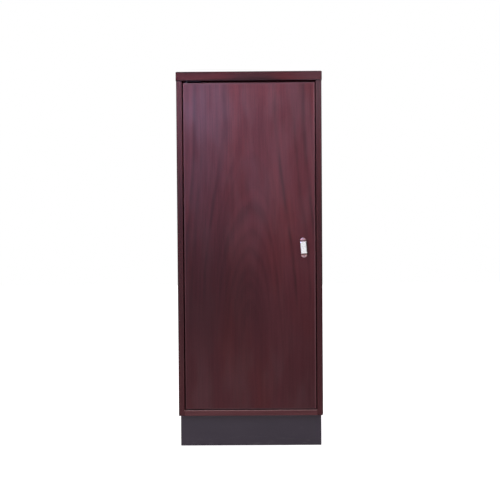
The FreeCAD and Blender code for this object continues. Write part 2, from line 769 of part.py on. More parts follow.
def make_keeper():
    """Keeper: an angle plate on the right side panel, whose flange the tongue turns behind."""
    y0 = door_back + keeper_gap
    y1 = y0 + keeper_plate
    leg_back = y0 + keeper_leg
    z0 = latch_z - keeper_height / 2
    z1 = latch_z + keeper_height / 2
    leg_face = inner_half - keeper_plate
    flange_edge = inner_half - keeper_flange
    corners = [V(flange_edge, y0, z0), V(inner_half, y0, z0), V(inner_half, leg_back, z0),
               V(leg_face, leg_back, z0), V(leg_face, y1, z0), V(flange_edge, y1, z0)]
    radii = [0, keeper_bend, 0, 0, keeper_bend, 0]
    pieces["latch_keeper"] = prism(outline_with_round_corners(corners, radii), UP * (z1 - z0))
    y = y0 + keeper_screw_depth_share * keeper_leg
    offset = keeper_screw_height_share * keeper_height
    places = [V(leg_face, y, latch_z - offset), V(leg_face, y, latch_z + offset)]
    drive_screws("keeper_screws", small_screw, side_thickness - screw_skin, places,
                 RIGHT, ["latch_keeper", "right_side_panel"])


make_top()
make_side("left", -body_half, -inner_half, left_foot_rounding)
make_side("right", body_half, inner_half, right_foot_rounding)
make_bottom()
make_back()
make_dowels()
make_plinth()
make_shelves()
make_door()
make_pivots()
make_door_stop()
make_latch_seat()
make_grip()
make_spindle()
make_keeper()

os.makedirs("parts", exist_ok=True)
for name, shape in pieces.items():
    shape.exportStep("parts/" + name + ".step")
print(len(pieces), "nodes")
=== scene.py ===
import json
import math

import bmesh
import bpy
from mathutils import Matrix, Vector


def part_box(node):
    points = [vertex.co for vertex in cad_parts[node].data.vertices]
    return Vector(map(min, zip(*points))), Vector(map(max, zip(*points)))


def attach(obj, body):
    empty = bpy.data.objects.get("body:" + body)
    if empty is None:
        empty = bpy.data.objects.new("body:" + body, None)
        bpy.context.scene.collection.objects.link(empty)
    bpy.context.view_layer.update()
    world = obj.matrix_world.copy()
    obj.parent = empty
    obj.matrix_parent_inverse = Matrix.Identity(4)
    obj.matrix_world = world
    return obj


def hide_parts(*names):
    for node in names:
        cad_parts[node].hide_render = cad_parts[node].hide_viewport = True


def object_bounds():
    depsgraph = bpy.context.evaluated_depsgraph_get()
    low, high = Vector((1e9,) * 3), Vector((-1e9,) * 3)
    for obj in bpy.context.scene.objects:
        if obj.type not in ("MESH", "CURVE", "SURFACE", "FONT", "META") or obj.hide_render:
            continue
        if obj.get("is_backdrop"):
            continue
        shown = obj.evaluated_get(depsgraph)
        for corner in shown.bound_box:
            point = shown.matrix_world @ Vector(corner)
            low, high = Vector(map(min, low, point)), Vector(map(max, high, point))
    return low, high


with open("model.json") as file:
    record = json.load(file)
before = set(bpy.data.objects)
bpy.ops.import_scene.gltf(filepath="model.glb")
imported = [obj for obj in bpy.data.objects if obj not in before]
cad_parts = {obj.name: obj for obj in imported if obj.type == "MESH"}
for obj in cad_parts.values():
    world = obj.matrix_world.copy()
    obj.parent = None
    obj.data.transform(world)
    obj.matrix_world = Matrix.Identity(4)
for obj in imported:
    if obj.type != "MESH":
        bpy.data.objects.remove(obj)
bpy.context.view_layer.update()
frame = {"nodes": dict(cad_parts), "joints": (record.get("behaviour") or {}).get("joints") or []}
nodes = frame["nodes"]


# Camera: a long lens straight in front of the cabinet, a little above its middle height,
# turned a hair to the left and down, and not quite level.
camera_place = Vector((0.0212, -3.19825, 0.7509))
turn_left = math.radians(0.395)
tilt_down = math.radians(1.229)
roll = math.radians(-0.406)


def put(name, data):
    """An object in the scene that shows a mesh, a lamp or a camera."""
    thing = bpy.data.objects.new(name, data)
    bpy.context.scene.collection.objects.link(thing)
    return thing


forward = Vector((
    -math.sin(turn_left) * math.cos(tilt_down),
    math.cos(turn_left) * math.cos(tilt_down),
    -math.sin(tilt_down),
))
level_right = Vector((math.cos(turn_left), math.sin(turn_left), 0))
level_up = level_right.cross(forward)
picture_right = level_right * math.cos(roll) + level_up * math.sin(roll)
picture_up = level_up * math.cos(roll) - level_right * math.sin(roll)
camera_data = bpy.data.cameras.new("front camera")
camera_data.lens = 62.66
camera_data.sensor_width = 36
camera_data.sensor_fit = "HORIZONTAL"
camera = put("front_camera", camera_data)
axes = Matrix((picture_right, picture_up, -forward)).transposed().to_4x4()
camera.matrix_world = Matrix.Translation(camera_place) @ axes
bpy.context.scene.camera = camera
bpy.context.scene.view_settings.view_transform = "Standard"


# Side boards: board veneered on both faces with stained mahogany under a satin lacquer,
# the grain running up, with a solid mahogany strip glued down each front edge, painted
# paler at its foot as light from the floor. The left strip has a band of painted shade and
# the right strip a painted sheen at its top end. Their holes for pins, dowels and keeper
# are the frame's.
class Wire:
    """The output of a node. Arithmetic with it adds the Math nodes that do the sum."""

    def __init__(self, socket):
        self.socket = socket
        self.tree = socket.id_data

    def calc(self, operation, *others, clamped=False):
        return wire_in(self.tree, "ShaderNodeMath", dict(enumerate((self, *others))),
                       operation=operation, use_clamp=clamped)

    def __add__(self, other):
        return self.calc("ADD", other)

    def __sub__(self, other):
        return self.calc("SUBTRACT", other)

    def __rsub__(self, other):
        return self.calc("MULTIPLY_ADD", -1.0, other)

    def __mul__(self, other):
        return self.calc("MULTIPLY", other)

    def __truediv__(self, other):
        return self.calc("DIVIDE", other)


def feed(node, inputs):
    """Sets a node's inputs, each to a value or to a wire."""
    for name, value in dict(inputs).items():
        if isinstance(value, Wire):
            node.id_data.links.new(value.socket, node.inputs[name])
        else:
            node.inputs[name].default_value = value


def node_in(tree, kind, inputs=(), **settings):
    """Adds a node to a tree."""
    made = tree.nodes.new(kind)
    for name, value in settings.items():
        setattr(made, name, value)
    feed(made, inputs)
    return made


def wire_in(tree, kind, inputs=(), output=0, **settings):
    """Adds a node to a tree and gives one of its outputs."""
    return Wire(node_in(tree, kind, inputs, **settings).outputs[output])


def use(group, inputs):
    """Adds a shader group to the tree that its vector comes from, and gives its outputs."""
    made = node_in(inputs["Vector"].tree, "ShaderNodeGroup", inputs, node_tree=group)
    return [Wire(output) for output in made.outputs]


def vector_math(operation, first, second=(0.0, 0.0, 0.0), output="Vector"):
    """One step of arithmetic with vectors."""
    return wire_in(first.tree, "ShaderNodeVectorMath", {0: first, 1: second}, output,
                   operation=operation)


def split(vector):
    """The three parts of a vector."""
    return [Wire(part) for part in
            node_in(vector.tree, "ShaderNodeSeparateXYZ", {0: vector}).outputs]


def spread(value, low, high, to_low=0.0, to_high=1.0):
    """Maps a value from one range to another on a soft S curve."""
    return wire_in(value.tree, "ShaderNodeMapRange",
                   {"Value": value, "From Min": low, "From Max": high, "To Min": to_low,
                    "To Max": to_high}, "Result", interpolation_type="SMOOTHSTEP")


def blend(mask, first, second):
    """Blends two colours by a mask."""
    return wire_in(mask.tree, "ShaderNodeMix", {0: mask, 6: first, 7: second}, 2,
                   data_type="RGBA")


def noise(vector, stretch, detail=2.0, roughness=0.5, output="Fac"):
    """Noise stretched by a different scale along each axis, in waves per metre."""
    stretched = vector_math("MULTIPLY", vector, stretch)
    return wire_in(vector.tree, "ShaderNodeTexNoise",
                   {"Vector": stretched, "Scale": 1.0, "Detail": detail,
                    "Roughness": roughness}, output)


def noise_along(value, scale, detail):
    """Noise along one number."""
    return wire_in(value.tree, "ShaderNodeTexNoise",
                   {"W": value, "Scale": scale, "Detail": detail}, "Fac",
                   noise_dimensions="1D")


def socket_type(value):
    """The kind of socket for a default value, or the kind that a text names."""
    if isinstance(value, str):
        return "NodeSocket" + value
    if isinstance(value, tuple):
        return "NodeSocketVector" if len(value) == 3 else "NodeSocketColor"
    return "NodeSocketInt" if isinstance(value, int) else "NodeSocketFloat"


def make_group(name, kind, takes, gives):
    """A node group; it takes inputs with default values and gives outputs of some kinds."""
    tree = bpy.data.node_groups.new(name, kind)
    for label, value in takes.items():
        socket = tree.interface.new_socket(label, in_out="INPUT",
                                           socket_type=socket_type(value))
        if not isinstance(value, str):
            socket.default_value = value
    for label, value in gives.items():
        tree.interface.new_socket(label, in_out="OUTPUT", socket_type=socket_type(value))
    given = {socket.name: Wire(socket) for socket in tree.nodes.new("NodeGroupInput").outputs
             if socket.name}
    result = tree.nodes.new("NodeGroupOutput")
    return tree, given, result


def painted(red, green, blue):
    """A colour as it looks on a screen, 0 to 255 a channel, made linear."""
    channels = []
    for value in (red / 255, green / 255, blue / 255):
        channels.append(value / 12.92 if value <= 0.04045 else ((value + 0.055) / 1.055) ** 2.4)
    return (*channels, 1.0)


def make_wood_figure():
    """Flat-sawn wood in board coordinates: X across, Y into the board, Z along the grain."""
    tree, given, result = make_group("wood figure", "ShaderNodeTree", {
        "Vector": "Vector", "Ring Width": 0.011, "Heart Depth Low": 0.03,
        "Heart Depth High": 0.14, "Grain Start": 0.0, "Grain End": 1.3, "Wander": 0.03,
        "Pale Wood": (0.1, 0.04, 0.05, 1.0), "Dark Wood": (0.05, 0.02, 0.025, 1.0),
        "Warm Wood": (0.1, 0.03, 0.03, 1.0), "Ring Contrast": 0.5, "Band Contrast": 0.5,
        "Streak Contrast": 0.4, "Pores": 0.5, "Calm Foot": 0.0,
    }, {"Color": "Color", "Roughness": "Float", "Height": "Float", "Ring Radius": "Float"})
    place = given["Vector"]
    moved = place
    for stretch, reach in (((6.5, 6.5, 1.3), given["Wander"]),
                           ((28.0, 28.0, 9.0), (0.005, 0.005, 0.005))):
        drift = vector_math("SUBTRACT", noise(place, stretch, output="Color"), (0.5, 0.5, 0.5))
        moved = vector_math("ADD", moved, vector_math("MULTIPLY", drift, reach))
    across, inward, along = split(moved)
    run = given["Grain Start"], given["Grain End"]
    depth = inward + spread(along, *run, given["Heart Depth Low"], given["Heart Depth High"])
    radius = (across * across + depth * depth).calc("SQRT")
    uneven = noise_along(radius, 30.0, 1.0)
    growth = (uneven * 2.4 + radius / given["Ring Width"]).calc("FRACT")
    ring = spread(growth, 0.25, 0.82) - spread(growth, 0.88, 1.0)
    patchy = spread(noise(place, (9.0, 9.0, 1.6), 1.0), 0.3, 0.7, 0.35, 1.0)
    season = spread(noise_along(radius, 34.0, 2.0), 0.36, 0.66) - 0.5
    band = ring * patchy * given["Ring Contrast"] + season * given["Band Contrast"]

    stripe = noise(moved, (70.0, 70.0, 1.8), 3.0, 0.6) - 0.5
    fibre = noise(moved, (260.0, 260.0, 6.0), 3.0, 0.6) - 0.5
    streak = (stripe * 1.5 + fibre * 2.0) * given["Streak Contrast"]
    lively = spread(along, *run, 1.0 - given["Calm Foot"], 1.0)
    tone = (noise(place, (5.0, 5.0, 1.4), 1.0) - 0.5) * 0.5 + 0.3
    shade = ((band + streak) * lively).calc("ADD", tone, clamped=True)

    pore = spread(noise(moved, (2300.0, 2300.0, 130.0), 1.0), 0.6, 0.74) * given["Pores"]
    warmth = spread(noise(moved, (9.0, 9.0, 2.2)), 0.42, 0.66)
    fresh = blend(warmth, given["Pale Wood"], given["Warm Wood"])
    wood = blend(shade, fresh, given["Dark Wood"])
    filled_pore = (0.008, 0.0025, 0.0035, 1.0)
    feed(result, {"Color": blend(pore, wood, filled_pore),
                  "Roughness": (shade + pore) * 0.08 + 0.42,
                  "Height": fibre * 0.25 + (1.0 - pore), "Ring Radius": radius})
    return tree


def make_arris_mask():
    """Marks a board's edges: white within a reach of where two of its box's faces meet."""
    tree, given, result = make_group("arris mask", "ShaderNodeTree", {
        "Vector": "Vector", "Low Corner": (0.0, 0.0, 0.0), "High Corner": (1.0, 1.0, 1.0),
        "Reach": 0.003, "Raggedness": 0.4,
    }, {"Mask": "Float"})
    place = given["Vector"]
    x, y, z = split(vector_math(
        "MINIMUM", vector_math("SUBTRACT", place, given["Low Corner"]),
        vector_math("SUBTRACT", given["High Corner"], place)))
    middle = x.calc("MINIMUM", y).calc("MAXIMUM", x.calc("MAXIMUM", y).calc("MINIMUM", z))
    ragged = (noise(place, (130.0, 130.0, 130.0), 3.0) - 0.5) * given["Raggedness"]
    share = middle / (given["Reach"] * (ragged + 1.0))
    feed(result, {"Mask": spread(share, 0.45, 1.0, 1.0, 0.0)})
    return tree


wood_figure = make_wood_figure()
arris_mask = make_arris_mask()
grain_up_seen_from_front = Matrix.Identity(3)
grain_up_seen_from_side = Matrix(((0, 1, 0), (-1, 0, 0), (0, 0, 1)))
grain_across_level = Matrix(((0, 1, 0), (0, 0, 1), (1, 0, 0)))
grain_across_upright = Matrix(((0, 0, 1), (0, -1, 0), (1, 0, 0)))
grain_back_level = Matrix(((1, 0, 0), (0, 0, -1), (0, 1, 0)))


def new_material(name):
    """A material, its shader and its object coordinates."""
    material = bpy.data.materials.new(name)
    material.use_nodes = True
    tree = material.node_tree
    place = wire_in(tree, "ShaderNodeTexCoord", output="Object")
    return material, tree.nodes["Principled BSDF"], place


def bump(height, distance, strength):
    return wire_in(height.tree, "ShaderNodeBump",
                   {"Height": height, "Distance": distance, "Strength": strength})


def cloud_round(place, middle, stretch, core, rim, depth):
    """A soft cloud round a middle: its depth inside the core, nothing past the rim."""
    away = vector_math("MULTIPLY", vector_math("SUBTRACT", place, middle), stretch)
    return spread(vector_math("LENGTH", away, output="Value"), core, rim, depth, 0.0)


def dress(node, material):
    """Gives a frame node its finish."""
    slots = nodes[node].data.materials
    for i in range(len(slots)):
        slots[i] = material


def mahogany(node, name, turn, log_place, pale, dark, arris, arris_strength,
             arris_reach=0.0022, ring_width=0.011, heart=(0.05, 0.05), run=(0.0, 1.3),
             wander=0.03, rings=0.45, streaks=0.5, bands=0.4, warm=None, gloss=0.3,
             haze=0.12, calm_foot=0.0, unmarked=(), clouds=(), dulled=(), overlay=None):
    """Dresses a node in stained mahogany under satin lacquer, cut from its own place in the
    log. The arrises are marked but for those of the unmarked faces, such as "-z" for the
    underside, and take the arris colour: painted shade where it is dark, a painted highlight
    where it is pale. Clouds of another colour lie over the stain, most of them painted light
    and shade; the lacquer is dulled in patches, and an overlay, a group with its strength
    and colour, marks the stain once more."""
    material, shader, place = new_material(name)
    low, high = (Vector(corner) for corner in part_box(node))
    for sign, axis in unmarked:
        corner, away = (low, -0.1) if sign == "-" else (high, 0.1)
        corner["xyz".index(axis)] += away
    board = wire_in(place.tree, "ShaderNodeMapping", {
        "Vector": place, "Rotation": turn.to_euler(), "Location": log_place})
    colour, rough, height, radius = use(wood_figure, {
        "Vector": board, "Ring Width": ring_width, "Heart Depth Low": heart[0],
        "Heart Depth High": heart[1], "Grain Start": run[0], "Grain End": run[1],
        "Wander": wander, "Pale Wood": pale, "Dark Wood": dark, "Warm Wood": warm or pale,
        "Ring Contrast": rings, "Band Contrast": bands, "Streak Contrast": streaks,
        "Pores": 0.55, "Calm Foot": calm_foot})
    arris_band = use(arris_mask, {"Vector": place, "Low Corner": low, "High Corner": high,
                            "Reach": arris_reach})[0]
    # the arris colour on the edges: painted shade when dark, a painted highlight when pale
    colour = blend(arris_band * arris_strength, colour, arris)
    # clouds over the stain, most of them painted light and shade
    for *cloud, tint in clouds:
        colour = blend(cloud_round(place, *cloud), colour, tint)
    if overlay:
        group, strength, tint = overlay
        marks = use(group, {"Vector": place, "Ring Radius": radius})[0]
        colour = blend(marks * strength, colour, tint)
    coat = spread(noise(board, (15.0, 15.0, 4.5)), 0.38, 0.64, 0.15 * gloss, 0.43 * gloss)
    for patch in dulled:
        coat = coat * (1.0 - cloud_round(place, *patch))
    feed(shader, {"Base Color": colour, "Roughness": rough, "Specular IOR Level": haze,
                  "Coat Weight": coat, "Coat Roughness": 0.34, "Coat IOR": 1.4,
                  "Normal": bump(height, 0.00012, 0.6)})
    dress(node, material)


side_stain = painted(74, 31, 37), painted(44, 16, 20)
strip_stain = painted(70, 30, 34), painted(45, 17, 21)
# dark colour worked into the boards' arrises: painted shade along edges and joints
edge_shade = painted(26, 10, 13)
straight_grain = dict(heart=(0.3, 0.3), wander=0.02, rings=0.35, streaks=0.7)
along_z = (0.0, 0.0, 1.0)
# paler towards each strip's foot: painted light, as from the floor
painted_light_at_foot = ((0.0, 0.0, 0.0), along_z, 0.1, 0.65, 0.15, painted(110, 60, 66))
# darker band high on the left strip: painted shade
painted_shade_cloud = ((0.0, 0.0, 0.88), along_z, 0.03, 0.2, 0.45, strip_stain[1])
# paler, greyer top end of the right strip: painted sheen
painted_sheen_at_top = ((0.0, 0.0, 1.27), along_z, 0.05, 0.26, 0.25, painted(64, 60, 66))
for side, panel_place, heart, strip_place, inner_face, cloud in (
    ("left", (0.02, 0.31, 0.4), (0.11, 0.05), (0.45, 0.2, 0.3), "+x", painted_shade_cloud),
    ("right", (-0.03, -0.27, -1.1), (0.04, 0.13), (-0.52, 0.1, -0.9), "-x", painted_sheen_at_top),
):
    mahogany(side + "_side_panel", side + " side veneer", grain_up_seen_from_side,
             panel_place, *side_stain, edge_shade, 0.5, heart=heart, rings=0.5)
    mahogany(side + "_side_lipping", side + " side strip", grain_up_seen_from_front,
             strip_place, *strip_stain, edge_shade, 0.85, 0.0034, haze=0.09,
             **dict(straight_grain, wander=0.01), unmarked=("+y", inner_face),
             clouds=(painted_light_at_foot, cloud))


# Top board: a thick veneered board with solid strips on its front and two ends, its upper
# arris well rounded and its front corners eased. It lies on the side boards, on dowels.
top_stain = painted(68, 22, 25), painted(42, 14, 16)
along_x = (1.0, 0.0, 0.0)
mahogany("top_panel", "top veneer", grain_across_level, (0.05, -1.2, 0.2), *side_stain,
         edge_shade, 0.4, heart=(0.05, 0.15), run=(-0.1, 0.6), rings=0.5)
mahogany("top_front_lipping", "top front strip", grain_across_upright, (-1.15, 0.3, 0.9),
         *top_stain, edge_shade, 0.85, 0.0035, heart=(0.25, 0.25), wander=0.02, rings=0.5,
         streaks=0.8, gloss=0.1, haze=0.055, unmarked=("+y",), clouds=(
             ((0.015, 0.0, 0.0), along_x, 0.03, 0.12, 0.5, painted(28, 18, 21)),
             # paler, greyer right end of the strip: painted sheen
             ((0.25, 0.0, 0.0), along_x, 0.02, 0.15, 0.18, painted(90, 70, 80))))
for side, place_in_log, inner_face in (("left", (0.3, -1.1, 0.5), "+x"),
                                       ("right", (0.7, -0.9, 0.1), "-x")):
    mahogany("top_" + side + "_lipping", "top " + side + " strip", grain_back_level,
             place_in_log, *top_stain, edge_shade, 0.8, 0.0035, heart=(0.25, 0.25), wander=0.02,
             rings=0.4, streaks=0.7, unmarked=("-y", inner_face))


# Bottom board: stands between the side boards on dowels, with a solid strip on its front
# edge whose upper arris is painted pale as a highlight.
# pale colour on the upper arrises: a painted highlight
pale_arris_highlight = painted(172, 132, 134)
mahogany("bottom_panel", "bottom veneer", grain_across_level, (-0.04, 0.2, 0.6), *side_stain,
         pale_arris_highlight, 0.15, heart=(0.12, 0.05), run=(0.3, 0.9), rings=0.5)
mahogany("bottom_front_lipping", "bottom front strip", grain_across_upright,
         (-0.05, 0.5, 0.3), painted(94, 51, 55), painted(72, 36, 40), pale_arris_highlight, 0.75,
         heart=(0.28, 0.28), wander=0.02, rings=0.4, streaks=0.7,
         unmarked=("-z", "-x", "+x", "+y"))


# Dowels: fluted beech pegs glued between the sides and the top and bottom, out of sight.
# Each is grown on a point at its middle.
def finish_instances(given, result, shape, material):
    """Sets the shape on every point, turned by chance about its own length, as one mesh."""
    tree = shape.tree
    soft_below = math.radians(38)
    steepness = wire_in(tree, "GeometryNodeInputMeshEdgeAngle", output="Unsigned Angle")
    is_soft = wire_in(tree, "FunctionNodeCompare", {0: steepness, 1: soft_below},
                      data_type="FLOAT", operation="LESS_THAN")
    for domain, smooth in (("FACE", True), ("EDGE", is_soft)):
        shape = wire_in(tree, "GeometryNodeSetShadeSmooth",
                        {"Geometry": shape, "Shade Smooth": smooth}, domain=domain)
    chance = wire_in(tree, "FunctionNodeRandomValue",
                     {2: 0.0, 3: 2 * math.pi, 8: given["Seed"]}, 1, data_type="FLOAT")
    aim = wire_in(tree, "FunctionNodeAlignRotationToVector",
                  {"Vector": given["Points Along"]}, axis="Z")
    spin = wire_in(tree, "ShaderNodeCombineXYZ", {"Z": chance})
    turn = wire_in(tree, "FunctionNodeRotateRotation", {0: aim, 1: spin},
                   rotation_space="LOCAL")
    set_out = wire_in(tree, "GeometryNodeInstanceOnPoints",
                      {"Points": given["Places"], "Instance": shape, "Rotation": turn})
    real = wire_in(tree, "GeometryNodeRealizeInstances", {0: set_out})
    feed(result, {0: wire_in(tree, "GeometryNodeSetMaterial",
                             {"Geometry": real, "Material": material})})


def make_fluted_dowel():
    tree, given, result = make_group("fluted dowels", "GeometryNodeTree", {
        "Places": "Geometry", "Diameter": 0.008, "Length": 0.03, "Chamfer": 0.001,
        "Flutes": 14, "Flute Depth": 0.0003, "Points Along": (0.0, 0.0, 1.0), "Seed": 3,
        "Wood": "Material",
    }, {"Dowels": "Geometry"})
    radius = given["Diameter"] * 0.5
    end_reach = 0.0001
    rod = wire_in(tree, "GeometryNodeMeshCylinder",
                  {"Vertices": 84, "Side Segments": 12, "Radius": radius,
                   "Depth": given["Length"]})
    x, y, z = split(wire_in(tree, "GeometryNodeInputPosition"))
    wave = (y.calc("ARCTAN2", x) * given["Flutes"]).calc("SINE") * 0.5 + 0.5
    is_end = (given["Length"] * 0.5 - z.calc("ABSOLUTE")).calc("LESS_THAN", end_reach)
    cut = is_end * given["Chamfer"] + wave * given["Flute Depth"]
    keep = 1.0 - cut / radius
    scaled = wire_in(tree, "ShaderNodeCombineXYZ", {"X": x * keep, "Y": y * keep, "Z": z})
    shaped = wire_in(tree, "GeometryNodeSetPosition", {"Geometry": rod, "Position": scaled})
    finish_instances(given, result, shaped, given["Wood"])
    return tree


def solids_of(node):
    """The low and high corner of each separate solid in a frame node, in a fixed order."""
    shape = bmesh.new()
    shape.from_mesh(nodes[node].data)
    bmesh.ops.remove_doubles(shape, verts=shape.verts, dist=1e-6)
    waiting = set(shape.verts)
    found = []
    while waiting:
        open_points = [waiting.pop()]
        places = []
        while open_points:
            point = open_points.pop()
            places.append(point.co.copy())
            for edge in point.link_edges:
                other = edge.other_vert(point)
                if other in waiting:
                    waiting.remove(other)
                    open_points.append(other)
        found.append((Vector(map(min, zip(*places))), Vector(map(max, zip(*places)))))
    shape.free()
    return sorted(found, key=lambda corners: tuple(corners[0]))


def grow(name, tree, places, values):
    """Runs a tree on a cloud of points and keeps the result as a plain mesh."""
    points = bpy.data.meshes.new(name)
    points.from_pydata([tuple(place) for place in places], [], [])
    piece = put(name, points)
    modifier = piece.modifiers.new(name, "NODES")
    modifier.node_group = tree
    sockets = {item.name: item.identifier for item in tree.interface.items_tree
               if item.in_out == "INPUT"}
    for label, value in values.items():
        modifier[sockets[label]] = value
    graph = bpy.context.evaluated_depsgraph_get()
    result = bpy.data.meshes.new_from_object(
        piece.evaluated_get(graph), preserve_all_data_layers=True, depsgraph=graph)
    piece.modifiers.remove(modifier)
    piece.data = result
    return piece


def raw_wood(name, turn, pale, dark, pores):
    """Unfinished wood: paler, drier and rougher than the lacquered boards."""
    material, shader, place = new_material(name)
    board = wire_in(place.tree, "ShaderNodeMapping", {
        "Vector": place, "Rotation": turn.to_euler(), "Location": (0.13, 0.21, 0.17)})
    colour, rough, height = use(wood_figure, {
        "Vector": board, "Ring Width": 0.004, "Heart Depth Low": 0.06,
        "Heart Depth High": 0.06, "Wander": 0.01, "Pale Wood": pale, "Dark Wood": dark,
        "Warm Wood": pale, "Ring Contrast": 0.4, "Band Contrast": 0.3,
        "Streak Contrast": 0.5, "Pores": pores})[:3]
    feed(shader, {"Base Color": colour, "Roughness": rough + 0.25,
                  "Specular IOR Level": 0.25, "Normal": bump(height, 0.00015, 0.7)})
    return material


fluted_dowel = make_fluted_dowel()
beech = painted(205, 172, 130), painted(168, 128, 88)
dowel_wood = raw_wood("beech dowel", grain_across_level, *beech, 0.3)
all_dowels = bmesh.new()
for label, axis in (("level", 0), ("upright", 2)):
    pegs = [(low, high) for low, high in solids_of("carcass_dowels")
            if (high - low)[axis] == max(high - low)]
    low, high = pegs[0]
    along = Vector((0, 0, 0))
    along[axis] = 1
    part = grow("dowels_" + label, fluted_dowel, [(low + high) / 2 for low, high in pegs], {
        "Diameter": high.y - low.y, "Length": (high - low)[axis], "Points Along": along,
        "Wood": dowel_wood})
    dowel_mesh = part.data
    all_dowels.from_mesh(dowel_mesh)
    bpy.data.objects.remove(part)
all_dowels.to_mesh(dowel_mesh)
all_dowels.free()
dowels = put("fluted_dowels", dowel_mesh)
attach(dowels, "root")
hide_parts("carcass_dowels")


# Back panel: thin plywood, stained brown to go with the veneer and left matt. It lies in a
# rabbet round the carcass, held by a row of small countersunk screws.
def joined(*forms):
    """Several wires of geometry as one."""
    node = forms[0].tree.nodes.new("GeometryNodeJoinGeometry")
    for form in forms:
        feed(node, {0: form})
    return Wire(node.outputs[0])


def make_countersunk_screw():
    tree, given, result = make_group("countersunk screws", "GeometryNodeTree", {
        "Places": "Geometry", "Head Diameter": 0.006, "Head Height": 0.0016, "Rim": 0.0002,
        "Diameter": 0.003, "Length": 0.016, "Tip Length": 0.004, "Slot Width": 0.0008,
        "Slot Depth": 0.0007, "Thread Pitch": 0.0012, "Points Along": (0.0, 0.0, 1.0),
        "Seed": 5, "Metal": "Material",
    }, {"Screws": "Geometry"})
    point_radius = 0.0001
    threaded_share = 0.9
    ridge_share = 0.09

    def lowered(shape, drop):
        down = wire_in(tree, "ShaderNodeCombineXYZ", {"Z": drop * -1.0})
        return wire_in(tree, "GeometryNodeTransform",
                       {"Geometry": shape, "Translation": down})

    def disc(radius):
        return wire_in(tree, "GeometryNodeMeshCircle", {"Vertices": 32, "Radius": radius},
                       fill_type="NGON")

    def cone(top, bottom, height, drop):
        return lowered(wire_in(tree, "GeometryNodeMeshCone", {
            "Vertices": 32, "Radius Top": top, "Radius Bottom": bottom, "Depth": height,
        }, fill_type="NONE"), drop)

    head = given["Head Diameter"] * 0.5
    shank = given["Diameter"] * 0.5
    rim, head_height, length = given["Rim"], given["Head Height"], given["Length"]
    tip_start = length - given["Tip Length"]
    shank_length = tip_start - head_height
    whole = joined(
        disc(head - rim),
        cone(head - rim, head, rim, rim),
        cone(head, shank, head_height - rim, head_height),
        cone(shank, shank, shank_length, tip_start),
        cone(shank, point_radius, given["Tip Length"], length),
        lowered(disc(point_radius), length))
    whole = wire_in(tree, "GeometryNodeMergeByDistance",
                    {"Geometry": whole, "Distance": 0.000005})
    cutter = wire_in(tree, "GeometryNodeMeshCube", {"Size": wire_in(
        tree, "ShaderNodeCombineXYZ", {
            "X": given["Head Diameter"] * 1.2, "Y": given["Slot Width"],
            "Z": given["Slot Depth"] * 2.0})})
    slotted = wire_in(tree, "GeometryNodeMeshBoolean", {"Mesh 1": whole, "Mesh 2": cutter},
                      operation="DIFFERENCE", solver="EXACT")
    thread_length = shank_length * threaded_share
    coil = wire_in(tree, "GeometryNodeCurveSpiral", {
        "Resolution": 16, "Start Radius": shank, "End Radius": shank,
        "Height": thread_length, "Rotations": thread_length / given["Thread Pitch"]})
    ridge = wire_in(tree, "GeometryNodeCurvePrimitiveCircle",
                    {"Resolution": 3, "Radius": given["Diameter"] * ridge_share})
    thread = wire_in(tree, "GeometryNodeCurveToMesh",
                     {"Curve": coil, "Profile Curve": ridge, "Fill Caps": True})
    finish_instances(given, result, joined(slotted, lowered(thread, tip_start)),
                     given["Metal"])
    return tree


def make_metal_wear():
    """Fine scratches and handling marks on bare or plated metal."""
    tree, given, result = make_group("metal wear", "ShaderNodeTree", {
        "Vector": "Vector", "Clean": (0.6, 0.6, 0.6, 1.0), "Tarnish": (0.3, 0.3, 0.3, 1.0),
        "Tarnish Amount": 0.3, "Smoothness": 0.2, "Scratches": 0.3,
    }, {"Color": "Color", "Roughness": "Float", "Height": "Float"})
    cloud = spread(noise(given["Vector"], (240.0, 240.0, 240.0), 4.0, 0.6), 0.42, 0.7)
    dull = cloud * given["Tarnish Amount"]
    scratch = (noise(given["Vector"], (500.0, 2600.0, 9000.0)) - 0.5) * given["Scratches"]
    rough = dull * 0.25 + given["Smoothness"]
    feed(result, {"Color": blend(dull, given["Clean"], given["Tarnish"]),
                  "Roughness": rough.calc("ADD", scratch * 0.2, clamped=True),
                  "Height": scratch - cloud * 0.2})
    return tree


def metal(name, clean, tarnish, tarnish_amount, smoothness, scratches):
    """Metal with its own colour, dulling and scratches."""
    material, shader, place = new_material(name)
    colour, rough, height = use(metal_wear, {
        "Vector": place, "Clean": clean, "Tarnish": tarnish,
        "Tarnish Amount": tarnish_amount, "Smoothness": smoothness, "Scratches": scratches})
    feed(shader, {"Base Color": colour, "Roughness": rough, "Metallic": 1.0,
                  "Normal": bump(height, 0.00002, 0.5)})
    return material


def drive_screws(node, body, along, seed, head=(0.006, 0.0016, 0.003), pitch=0.0012,
                 finish="zinc_steel"):
    """Puts a threaded, slotted screw where each of the frame's screws is. The head is given
    by its width and height and the shank's width."""
    along = Vector(along)
    places = []
    for low, high in solids_of(node):
        length = abs((high - low).dot(along))
        places.append((low + high) / 2 - along * length / 2)
    piece = grow(node + "_threaded", countersunk_screw, places, {
        "Head Diameter": head[0], "Head Height": head[1], "Diameter": head[2],
        "Length": length, "Thread Pitch": pitch, "Points Along": -along, "Seed": seed,
        "Metal": {"zinc_steel": zinc, "blackened_steel": blackened}[finish]})
    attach(piece, body)
    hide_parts(node)


countersunk_screw = make_countersunk_screw()
metal_wear = make_metal_wear()
zinc = metal("bright zinc", painted(196, 197, 200), painted(120, 118, 112), 0.55, 0.27, 0.5)
blackened = metal("blackened steel", painted(34, 32, 34), painted(22, 20, 21), 0.7, 0.55, 0.4)
dress("back_panel", raw_wood("stained plywood", grain_up_seen_from_front,
                             painted(118, 74, 60), painted(88, 52, 42), 0.35))
drive_screws("back_panel_screws", "root", (0, -1, 0), 11)


